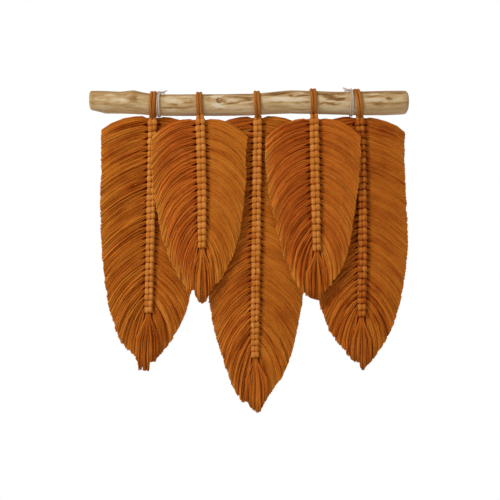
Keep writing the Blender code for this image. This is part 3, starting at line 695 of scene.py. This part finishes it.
def loop_path(feather, offset):
    """The way of one cord of a hanging loop, up the front of the branch and down behind."""
    loop_x, depth, top = feather["loop_x"], feather["depth"], feather["top"]
    neck = feather["spine_x"][0]
    radius, height = rod_at(loop_x)
    ring = radius + LOOP_GAP + (1 - LOOP_SINK) * CORD_RADIUS
    angle = np.radians(np.linspace(*LOOP_ENDS, 60))
    share = 0.5 - 0.5 * np.cos(angle)
    over = points_of(
        neck + (loop_x - neck) * share + offset,
        -ROD_DEPTH - ring * np.sin(angle),
        height - ring * np.cos(angle),
    )
    front = [(neck + offset, -depth - 1.7, top - 3.5), (neck + offset, -depth - 2.3, top + 0.8)]
    back = [(neck + offset, -depth + 1.7, top + 0.8), (neck + offset, -depth + 1.7, top - 3.5)]
    return np.concatenate([front, over, back])


def loop(feather):
    shapes = []
    axis = np.array([feather["loop_x"], -ROD_DEPTH, rod_at(feather["loop_x"])[1]])
    for offset in (-LOOP_OFFSET, LOOP_OFFSET):
        path = smooth_path(loop_path(feather, offset), LOOP_POINTS, 3)
        front = path - axis
        front[:, 0] = 0
        roll = np.linspace(0, math.tau * 1.3, LOOP_POINTS)[None]
        ridges = uneven(1, CORD_SIDES, LOOP_POINTS, 0.01)
        tone = 0.33 + scatter(0.07, (1, CORD_SIDES))
        shapes.append(tubes(
            path[None], CORD_RADIUS * 0.99, CORD_SIDES, tone,
            roll=roll, front=unit(front), ridges=ridges, flat=CORD_FLATNESS,
        ))
    return join(shapes)


def frayed(path):
    """The loose fibres at the end of a path."""
    tip, way = path[-1], unit(path[-1] - path[-4])
    per_fibre = (FRAY_FIBRES, 3)
    start = tip - way * 1.5 + scatter(0.35, per_fibre)
    end = tip + way * rng.uniform(1.0, 2.4, (FRAY_FIBRES, 1)) + scatter(0.75, per_fibre)
    fibres = np.stack([start, (start + end) / 2 + scatter(0.15, per_fibre), end], axis=1)
    return tubes(fibres, np.array([FRAY_RADII]), 4, 0.9)


def tie(x, side):
    """Two turns of twine round the branch, knotted on top, with two free ends."""
    shapes = []
    radius, height = rod_at(x)
    ring = radius + TWINE_GAP + TWINE_RADIUS
    angle = np.linspace(0, math.tau, 97)
    out = ring + 0.08 * np.sin(5 * angle)
    for place in (-1.0, 1.0):
        path = points_of(
            x + place * 1.02 + 0.12 * np.sin(3 * angle + place),
            -ROD_DEPTH - out * np.sin(angle),
            height + out * np.cos(angle),
        )
        shapes.append(plied(path, TWINE_RADIUS * 1.06, 13, 0.5 + 0.1 * place, share=0.66))
    top = np.array([x, -ROD_DEPTH, height + ring])
    towards = np.array([side, -1, 1])
    shapes.append(plied(smooth_path(TIE_KNOT * towards + top, 60, 5), TWINE_RADIUS, 3, 0.7))
    for corners, twist in TIE_ENDS:
        path = smooth_path(corners * towards + top, 30, 2)
        shapes += [plied(path, TWINE_RADIUS, twist, 0.9), frayed(path)]
    return join(shapes)


def relief(xs, angles, along, around, start):
    """A field of noise over the rings and sides of the branch."""
    return np.array([[
        noise.noise(Vector((x * along + start, math.cos(a) * around + start, math.sin(a) * around - start)))
        for a in angles
    ] for x in xs])


def wood_tone(x, turn, radius, fine, ridge, wander):
    """The tone of the branch: painted shade on its top and painted light under it, and its marks, seen from
    the front and guessed behind.
    """
    # painted shade on the top of the branch and painted light under its front, against the key light falling
    # from above
    seen = smoothstep(np.cos(turn), -0.5, 0.3)
    tone = PLAIN_WOOD - 0.20 * smoothstep(np.sin(turn), 0.55, 1.0) * seen
    tone = tone + 0.10 * smoothstep(-np.sin(turn), 0.35, 0.85) * seen
    tone = tone - 0.06 * (1 - smoothstep(x, -150, -110))
    at_x, at_arc = x + 5.0 * fine + 2.0 * ridge, turn * radius + 1.6 * wander + 1.0 * fine
    front = smoothstep(np.cos(turn), -0.25, 0.1)
    for place, up, long, thick, slope, change in BRANCH_MARKS:
        mark_radius, mark_height = (float(value) for value in rod_at(place))
        arc = mark_radius * math.asin(max(-0.98, min(0.98, (up - mark_height) / mark_radius)))
        away = at_x - place
        bent = at_arc - arc - slope * np.clip(away, -long, long)
        far = np.hypot(away / (long + 1.2), bent / (thick + 0.35))
        tone = tone + MARK_STRENGTH * change * (1 - smoothstep(far, 0.5, 1.25)) * front
    behind = 1 - smoothstep(np.cos(turn), -0.35, 0.05)
    for _ in range(MARKS_BEHIND):
        place, angle = rng.uniform(-196, 196), rng.uniform(1.8, 4.5)
        long, thick = rng.uniform(4, 22), rng.uniform(0.8, 3.0)
        away = np.angle(np.exp(1j * (turn - angle))) * radius + 1.6 * wander
        far = np.hypot((at_x - place) / long, away / thick)
        tone = tone + rng.choice([-0.28, -0.2, 0.18, 0.24]) * (1 - smoothstep(far, 0.5, 1.25)) * behind
    return np.clip(tone, 0.02, 0.98)


def end_faces(points, grid):
    """Rings of points that close both ends of the branch, as a shape on top of the points that it has."""
    added, quads, tris, tones = [], [], [], []
    at = len(points)
    for outer, sign in ((grid[0], -1), (grid[-1], 1)):
        rim = points[outer]
        centre = rim.mean(axis=0)
        for shrink, push, tone in END_RINGS:
            added.append(centre + (rim - centre) * shrink + np.array([sign * push, 0, 0]))
            tones.append(tone + scatter(0.04, BRANCH_SIDES))
            inner = at + np.arange(BRANCH_SIDES)
            at += BRANCH_SIDES
            faces = np.stack([outer, np.roll(outer, -1), np.roll(inner, -1), inner], axis=-1)
            quads.append(faces[:, ::-sign])
            outer = inner
        push, tone = PITH
        added.append((centre + np.array([sign * push, 0, 0]))[None])
        tones.append(np.array([tone]))
        faces = np.stack([outer, np.roll(outer, -1), np.full(BRANCH_SIDES, at)], axis=-1)
        tris.append(faces[:, ::-sign])
        at += 1
    return added, quads, tris, tones


def twig():
    """The ring of a cut twig, sunk into the surface."""
    place, up, size = BRANCH_KNOT
    radius, height = rod_at(place)
    angle = math.asin((up - height) / radius)
    a = np.linspace(0, math.tau, 33) + 0.4
    out = radius + 0.42 + 0.06 * np.sin(3 * a)
    shapes = []
    for grow, thick, tone in TWIG_RINGS:
        around = angle + grow * size * np.sin(a) / radius
        path = points_of(
            place + (1 - grow) * 0.5 + grow * size * (1.05 * np.cos(a) + 0.08 * np.sin(2 * a)),
            -ROD_DEPTH - out * np.cos(around),
            height + out * np.sin(around),
        )
        tone = (tone + 0.12 * (1 + np.sin(a + 0.8)))[:, None]
        shapes.append(tubes(path[None], thick * (1 + 0.30 * np.sin(a - 2.2)), 8, tone, cap=False))
    return shapes


def branch():
    """The peeled branch: low ridges along it, bulges, worn ends, and the tone of its marks."""
    first, last = ROD_STATIONS[0][0] * ROD_LENGTH, ROD_STATIONS[-1][0] * ROD_LENGTH
    xs = np.concatenate([[first], np.linspace(first + 0.2, last - 0.2, BRANCH_RINGS - 2), [last]])
    angles = np.arange(BRANCH_SIDES) / BRANCH_SIDES * math.tau
    turn = np.where(angles > math.pi, angles - math.tau, angles)
    fields = [relief(xs, angles, along, around, start) for along, around, start, _ in RELIEF]
    radius, height = (values[:, None] for values in rod_at(xs))
    out = radius
    for field, (*_, rise) in zip(fields, RELIEF):
        out = out + field * rise
    x = xs[:, None]
    for place, angle, size, rise in BULGES:
        away = np.angle(np.exp(1j * (turn - angle))) * radius
        far = np.hypot(x - place, away) / size
        out = out + rise * (0.5 * np.exp(-far * far * 1.6) - 0.35 * np.exp(-((far * 3.2) ** 2)))
    points = points_of(x, -ROD_DEPTH - out * np.cos(turn), height + out * np.sin(turn)).reshape(-1, 3)
    _, ridge, fine, wander = fields
    tone = wood_tone(x, turn, radius, fine, ridge, wander)

    grid = np.arange(len(points)).reshape(BRANCH_RINGS, BRANCH_SIDES)
    after = np.roll(grid, -1, axis=1)
    quads = np.stack([grid[:-1], grid[1:], after[1:], after[:-1]], axis=-1).reshape(-1, 4)
    end_points, end_quads, end_tris, end_tones = end_faces(points, grid)
    wood_shape = (
        np.concatenate([points, *end_points]), np.concatenate([quads, *end_quads]),
        np.concatenate(end_tris), np.concatenate([tone.reshape(-1), *end_tones]),
    )
    return join([wood_shape, *twig()])


# ---- materials

class Nodes:
    """Short calls for a material's nodes. Its tone is a value that the meshes carry."""

    def __init__(self, name):
        self.material = bpy.data.materials.new(name)
        self.material.use_nodes = True
        self.tree = self.material.node_tree
        self.shader = self.tree.nodes["Principled BSDF"]
        self.tone = self.add("ShaderNodeAttribute", attribute_name="tone").outputs["Fac"]

    def add(self, kind, **settings):
        node = self.tree.nodes.new(kind)
        for key, value in settings.items():
            setattr(node, key, value)
        return node

    def set(self, node, **values):
        for key, value in values.items():
            node.inputs[key.replace("_", " ")].default_value = value

    def link(self, a, b):
        self.tree.links.new(a, b)

    def noise(self, scale, detail, stretch=(1, 1, 1), rough=0.55, distortion=0.0):
        coords = self.add("ShaderNodeTexCoord")
        mapping = self.add("ShaderNodeMapping")
        texture = self.add("ShaderNodeTexNoise")
        self.set(mapping, Scale=stretch)
        self.set(texture, Scale=scale, Detail=detail, Roughness=rough, Distortion=distortion)
        self.link(coords.outputs["Object"], mapping.inputs["Vector"])
        self.link(mapping.outputs["Vector"], texture.inputs["Vector"])
        return texture.outputs["Fac"]

    def maths(self, operation, a, b, clamp=False):
        node = self.add("ShaderNodeMath", operation=operation, use_clamp=clamp)
        for socket, value in zip(node.inputs, (a, b)):
            if isinstance(value, (int, float)):
                socket.default_value = value
            else:
                self.link(value, socket)
        return node.outputs[0]

    def vary(self, value, texture, amount, clamp=False):
        """A value that a texture makes up to half of amount larger or smaller."""
        around_zero = self.maths("SUBTRACT", texture, 0.5)
        return self.maths("ADD", value, self.maths("MULTIPLY", around_zero, amount), clamp=clamp)

    def colour(self, value, stops):
        """The colour of the surface, from a ramp of (value, colour) stops."""
        ramp = self.add("ShaderNodeValToRGB")
        while len(ramp.color_ramp.elements) < len(stops):
            ramp.color_ramp.elements.new(0.5)
        for element, (at, colour) in zip(ramp.color_ramp.elements, stops):
            element.position = at
            element.color = (*colour, 1)
        self.link(value, ramp.inputs["Fac"])
        self.link(ramp.outputs["Color"], self.shader.inputs["Base Color"])

    def bump(self, height, strength, distance):
        bump = self.add("ShaderNodeBump")
        self.set(bump, Strength=strength, Distance=distance)
        self.link(height, bump.inputs["Height"])
        self.link(bump.outputs["Normal"], self.shader.inputs["Normal"])


def cotton(name, dark, mid, light, fine, grains):
    """Cotton, on a ramp whose darkest end is for the painted shade between its strands. fine and grains are
    the scale and the strength of its fibres.
    """
    m = Nodes(name)
    grain = m.noise(fine, 2.0)
    value = m.vary(m.tone, m.noise(42.0, 3.0), 0.34)
    value = m.vary(value, grain, grains, clamp=True)
    m.colour(value, ((0.0, tuple(0.42 * c for c in dark)), (0.16, dark), (0.50, mid), (0.90, light)))
    m.set(m.shader, Roughness=0.85, Specular_IOR_Level=0.08)
    m.set(m.shader, Sheen_Weight=0.10, Sheen_Roughness=0.45, Sheen_Tint=(1.0, 0.45, 0.12, 1))
    m.bump(grain, 0.35, 0.0003)
    return m.material


def combed(name, gold):
    """The combed cotton: gold is how much more yellow than the plain colour its middle tones are."""
    dark, mid, light = (0.385, 0.064, 0.004), (0.660, 0.172 * gold, 0.016), (0.780, 0.290, 0.036)
    return cotton(name, dark, mid, light, fine=700.0, grains=0.26)


def wood():
    m = Nodes("branch_wood")
    streak = m.noise(100.0, 5.0, stretch=(0.34, 2.6, 2.6), rough=0.62, distortion=0.5)
    patch = m.noise(60.0, 3.0, stretch=(0.5, 1.6, 1.6), distortion=0.3)
    fine = m.noise(300.0, 3.0, stretch=(0.20, 3.2, 3.2), rough=0.6)
    value = m.vary(m.vary(m.tone, streak, 0.60), patch, 0.40)
    m.colour(m.vary(value, fine, 0.30, clamp=True), (
        (0.00, (0.200, 0.085, 0.025)), (0.20, (0.370, 0.185, 0.058)), (0.38, (0.520, 0.315, 0.125)),
        (0.55, (0.640, 0.440, 0.215)), (0.74, (0.755, 0.565, 0.335)), (0.96, (0.850, 0.700, 0.490)),
    ))
    m.set(m.shader, Roughness=0.66, Specular_IOR_Level=0.25)
    m.bump(m.maths("ADD", m.maths("MULTIPLY", fine, 0.5), streak), 0.40, 0.0004)
    return m.material


def twine():
    m = Nodes("twine")
    grain = m.noise(900.0, 2.0)
    value = m.vary(m.tone, grain, 0.6, clamp=True)
    m.colour(value, ((0.1, (0.47, 0.33, 0.23)), (0.5, (0.63, 0.47, 0.35)), (0.9, (0.84, 0.72, 0.62))))
    m.set(m.shader, Roughness=0.8, Sheen_Weight=0.2, Specular_IOR_Level=0.25)
    m.bump(grain, 0.3, 0.0002)
    return m.material


combed_plain = combed("combed_plain", 1.02)
combed_golden = combed("combed_golden", 1.12)
combed_red = combed("combed_red", 0.92)
COMBED = {
    "left": (combed_golden, combed_golden),
    "mid_left": (combed_red, combed_golden),
    "centre": (combed_plain, combed_golden),
    "mid_right": (combed_red, combed_plain),
    "right": (combed_plain, combed_golden),
}
CORD_COLOURS = {
    "loop_cotton": ((0.340, 0.100, 0.014), (0.580, 0.205, 0.036), (0.780, 0.340, 0.085)),
    "knot_cotton": ((0.380, 0.066, 0.006), (0.600, 0.188, 0.023), (0.790, 0.320, 0.068)),
}
loop_cotton, knot_cotton = (
    cotton(name, *colours, fine=900.0, grains=0.40) for name, colours in CORD_COLOURS.items()
)
branch_wood = wood()
white_twine = twine()

# ---- the pieces

for name, feather in FEATHERS.items():
    add_piece(f"knots_{name}", bar(feather), knot_cotton, "ochre_cotton", f"feather_{name}")
    for side, material in zip(SIGN, COMBED[name]):
        add_piece(f"fringe_{name}_{side}", fringe(feather, side), material, "ochre_cotton")
    add_piece(f"tail_{name}", tail(feather), combed_plain, "ochre_cotton")
    add_piece(f"cord_{name}", loop(feather), loop_cotton, "ochre_cotton", f"loop_{name}")

for name, x, side in TIES:
    add_piece(f"twine_{name}", tie(x, side), white_twine, "white_twine", name)

add_piece("branch_bark", branch(), branch_wood, "peeled_wood", "branch")

# ---- stage, light and camera

FLOOR_CORNERS = ((-900, -900, -1000), (900, -900, -1000), (900, 700, -1000), (-900, 700, -1000))
STUDIO_LIGHT = 0.48
KEY_PLACE = (-1.35, -1.30, 0.80)
KEY_TARGET = (0, 0, -0.18)
KEY_SIZE = 0.6
KEY_WATTS = 20
LENS = 70
SENSOR = 36
VIEW_WIDTH = 0.629  # width of the picture where the hanging is
VIEW_DEPTH = 0.022
VIEW_CENTRE = (0.0016, -0.1849)

scene = bpy.context.scene
floor = add_mesh("floor", FLOOR_CORNERS, quads=[(0, 1, 2, 3)], smooth=False)
pale = bpy.data.materials.new("pale_floor")
pale.use_nodes = True
pale.node_tree.nodes["Principled BSDF"].inputs["Base Color"].default_value = (0.82, 0.82, 0.81, 1)
pale.node_tree.nodes["Principled BSDF"].inputs["Roughness"].default_value = 0.9
floor.data.materials.append(pale)

# the camera sees a white background, and the soft light of the studio is less bright than that
world = bpy.data.worlds.new("studio")
scene.world = world
world.use_nodes = True
tree = world.node_tree
light = tree.nodes["Background"]
white = tree.nodes.new("ShaderNodeBackground")
for background, strength in ((light, STUDIO_LIGHT), (white, 1.0)):
    background.inputs["Color"].default_value = (1, 1, 1, 1)
    background.inputs["Strength"].default_value = strength
rays = tree.nodes.new("ShaderNodeLightPath")
blend = tree.nodes.new("ShaderNodeMixShader")
tree.links.new(rays.outputs["Is Camera Ray"], blend.inputs["Fac"])
tree.links.new(light.outputs["Background"], blend.inputs[1])
tree.links.new(white.outputs["Background"], blend.inputs[2])
tree.links.new(blend.outputs["Shader"], tree.nodes["World Output"].inputs["Surface"])

key_data = bpy.data.lights.new("key", "AREA")
key_data.shape = "DISK"
key_data.size = KEY_SIZE
key_data.energy = KEY_WATTS
key = bpy.data.objects.new("key", key_data)
key.location = KEY_PLACE
key.rotation_mode = "QUATERNION"
key.rotation_quaternion = (Vector(KEY_TARGET) - Vector(KEY_PLACE)).to_track_quat("-Z", "Y")
scene.collection.objects.link(key)

camera_data = bpy.data.cameras.new("camera")
camera_data.lens = LENS
camera_data.sensor_width = SENSOR
camera = bpy.data.objects.new("camera", camera_data)
camera.location = (VIEW_CENTRE[0], -VIEW_WIDTH * LENS / SENSOR - VIEW_DEPTH, VIEW_CENTRE[1])
camera.rotation_euler = (math.pi / 2, 0, 0)
scene.collection.objects.link(camera)
scene.camera = camera
scene.view_settings.view_transform = "Standard"
scene.view_settings.look = "None"
